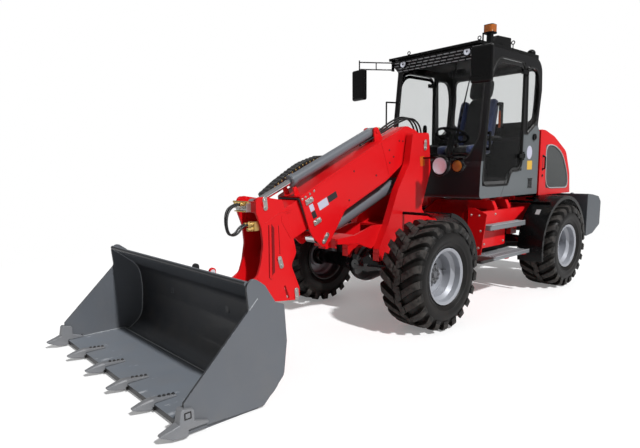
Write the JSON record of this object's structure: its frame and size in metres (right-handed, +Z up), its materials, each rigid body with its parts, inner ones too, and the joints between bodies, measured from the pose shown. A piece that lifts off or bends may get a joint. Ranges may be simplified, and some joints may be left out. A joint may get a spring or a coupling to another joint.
{
  "type": "articulated wheel loader with telescopic boom and toothed bucket",
  "caption": "Compact articulated loader with a closed cab, a telescopic boom, a bellcrank quick coupler and a toothed bucket.",
  "frame": {"origin": "on the ground under the middle of the whole machine, wheels straight and boom down", "axes": "+X forward towards the bucket, +Y to the left, +Z up"},
  "size_m": [6.1756, 2.068, 2.84],
  "materials": {
    "red_paint": "gloss enamel",
    "black_paint": "satin enamel",
    "cylinder_paint": "semi-gloss grey enamel",
    "bucket_paint": "satin grey paint",
    "step_paint": "satin grey paint",
    "cab_paint": "satin grey powder coat",
    "rim_paint": "silver lacquer",
    "cast_weight": "painted casting",
    "chrome": "ground and plated",
    "zinc_steel": "zinc plated",
    "black_plastic": "moulded",
    "chain_plastic": "moulded",
    "tyre_rubber": "moulded rubber",
    "cab_glass": "clear safety glass",
    "seat_fabric": "woven cloth over foam"
  },
  "bodies": {
    "rear": {"rear_frame": "red_paint", "cab_skirts": "red_paint", "rear_axle": "black_paint", "rear_fenders": "black_plastic", "side_tanks": "black_paint", "steps": "step_paint", "counterweight": "cast_weight", "engine": "black_paint", "cab_tub": "cab_paint", "cab_frame": "cab_paint", "cab_roof": "cab_paint", "windscreen": "cab_glass", "cab_windows": "cab_glass", "roof_lights": "black_plastic", "mirrors": "black_plastic", "seat_base": "black_plastic", "seat_cushion": "seat_fabric", "seat_back": "seat_fabric", "steering_column": "black_plastic"},
    "front": {"front_frame": "red_paint", "front_axle": "black_paint", "front_fenders": "black_plastic", "headlamps": "black_plastic"},
    "fixed_boom": {"outer_boom": "red_paint", "extension_barrel": "cylinder_paint"},
    "sliding_boom": {"inner_boom": "red_paint", "extension_rod": "chrome", "hose_chain": "chain_plastic", "hydraulic_couplings": "zinc_steel", "tilt_barrel": "cylinder_paint"},
    "lever": {"bellcrank": "red_paint"},
    "link_bars": {"tilt_link": "red_paint"},
    "tilt_piston": {"tilt_rod": "chrome"},
    "lift_cylinder": {"lift_barrel": "cylinder_paint"},
    "lift_piston": {"lift_rod": "chrome"},
    "attachment": {"quick_coupler": "red_paint", "bucket": "bucket_paint", "bucket_teeth": "bucket_paint"},
    "door_left": {"left_door": "cab_glass", "left_door_fittings": "black_plastic"},
    "door_right": {"right_door": "cab_glass", "right_door_fittings": "black_plastic"},
    "hood": {"engine_hood": "red_paint", "hood_grilles": "black_plastic"},
    "front_left_wheel": {"front_left_tyre": "tyre_rubber", "front_left_rim": "rim_paint"},
    "front_right_wheel": {"front_right_tyre": "tyre_rubber", "front_right_rim": "rim_paint"},
    "rear_left_wheel": {"rear_left_tyre": "tyre_rubber", "rear_left_rim": "rim_paint"},
    "rear_right_wheel": {"rear_right_tyre": "tyre_rubber", "rear_right_rim": "rim_paint"}
  },
  "joints": [
    {"name": "articulation", "type": "hinge", "parent": "rear", "child": "front", "pos_m": [-0.82776, 0, 0.65], "axis": [0, 0, 1], "range_deg": [-40, 40]},
    {"name": "boom_lift", "type": "hinge", "parent": "front", "child": "fixed_boom", "pos_m": [-0.20476, 0, 1.65], "axis": [0, -1, 0], "range_deg": [0, 65]},
    {"name": "boom_extend", "type": "slide", "parent": "fixed_boom", "child": "sliding_boom", "axis": [0.9172, 0, -0.3985], "range_m": [0, 0.85]},
    {"name": "bucket_tilt", "type": "hinge", "parent": "sliding_boom", "child": "attachment", "pos_m": [2.00776, 0, 0.4], "axis": [0, -1, 0], "range_deg": [-105, 40]},
    {"name": "lever_turn", "type": "hinge", "parent": "sliding_boom", "child": "lever", "pos_m": [1.58676, 0, 0.696], "axis": [0, -1, 0], "range_deg": [-105, 40]},
    {"name": "link_turn", "type": "hinge", "parent": "lever", "child": "link_bars", "pos_m": [1.57497, 0, 0.43627], "axis": [0, -1, 0], "range_deg": [-40, 105]},
    {"name": "tilt_piston_slide", "type": "slide", "parent": "sliding_boom", "child": "tilt_piston", "axis": [0.9021, 0, -0.4315], "range_m": [-0.105, 0.2741]},
    {"name": "lift_cylinder_swing", "type": "hinge", "parent": "front", "child": "lift_cylinder", "pos_m": [-0.01276, 0, 1.25], "axis": [0, -1, 0], "range_deg": [0, 69.46]},
    {"name": "lift_piston_slide", "type": "slide", "parent": "lift_cylinder", "child": "lift_piston", "axis": [0.9261, 0, -0.3773], "range_m": [0, 0.4657]},
    {"name": "left_door_swing", "type": "hinge", "parent": "rear", "child": "door_left", "pos_m": [-1.53476, 0.606, 1.9], "axis": [0, 0, 1], "range_deg": [0, 100]},
    {"name": "right_door_swing", "type": "hinge", "parent": "rear", "child": "door_right", "pos_m": [-1.53476, -0.606, 1.9], "axis": [0, 0, -1], "range_deg": [0, 100]},
    {"name": "hood_lift", "type": "hinge", "parent": "rear", "child": "hood", "pos_m": [-1.94276, 0, 1.836], "axis": [0, 1, 0], "range_deg": [0, 50]},
    {"name": "front_left_wheel_spin", "type": "hinge", "parent": "front", "child": "front_left_wheel", "pos_m": [0.38724, 0.745, 0.475], "axis": [0, 1, 0], "continuous": true},
    {"name": "front_right_wheel_spin", "type": "hinge", "parent": "front", "child": "front_right_wheel", "pos_m": [0.38724, -0.745, 0.475], "axis": [0, 1, 0], "continuous": true},
    {"name": "rear_left_wheel_spin", "type": "hinge", "parent": "rear", "child": "rear_left_wheel", "pos_m": [-2.04276, 0.745, 0.475], "axis": [0, 1, 0], "continuous": true},
    {"name": "rear_right_wheel_spin", "type": "hinge", "parent": "rear", "child": "rear_right_wheel", "pos_m": [-2.04276, -0.745, 0.475], "axis": [0, 1, 0], "continuous": true}
  ],
  "couplings": [
    {"joint": "lever_turn", "follows": "bucket_tilt", "ratio": 1},
    {"joint": "link_turn", "follows": "bucket_tilt", "ratio": -1},
    {"joint": "tilt_piston_slide", "follows": "bucket_tilt", "m_per_rad": -0.149},
    {"joint": "lift_cylinder_swing", "follows": "boom_lift", "ratio": 1.0671},
    {"joint": "lift_piston_slide", "follows": "boom_lift", "m_per_rad": 0.4096}
  ]
}
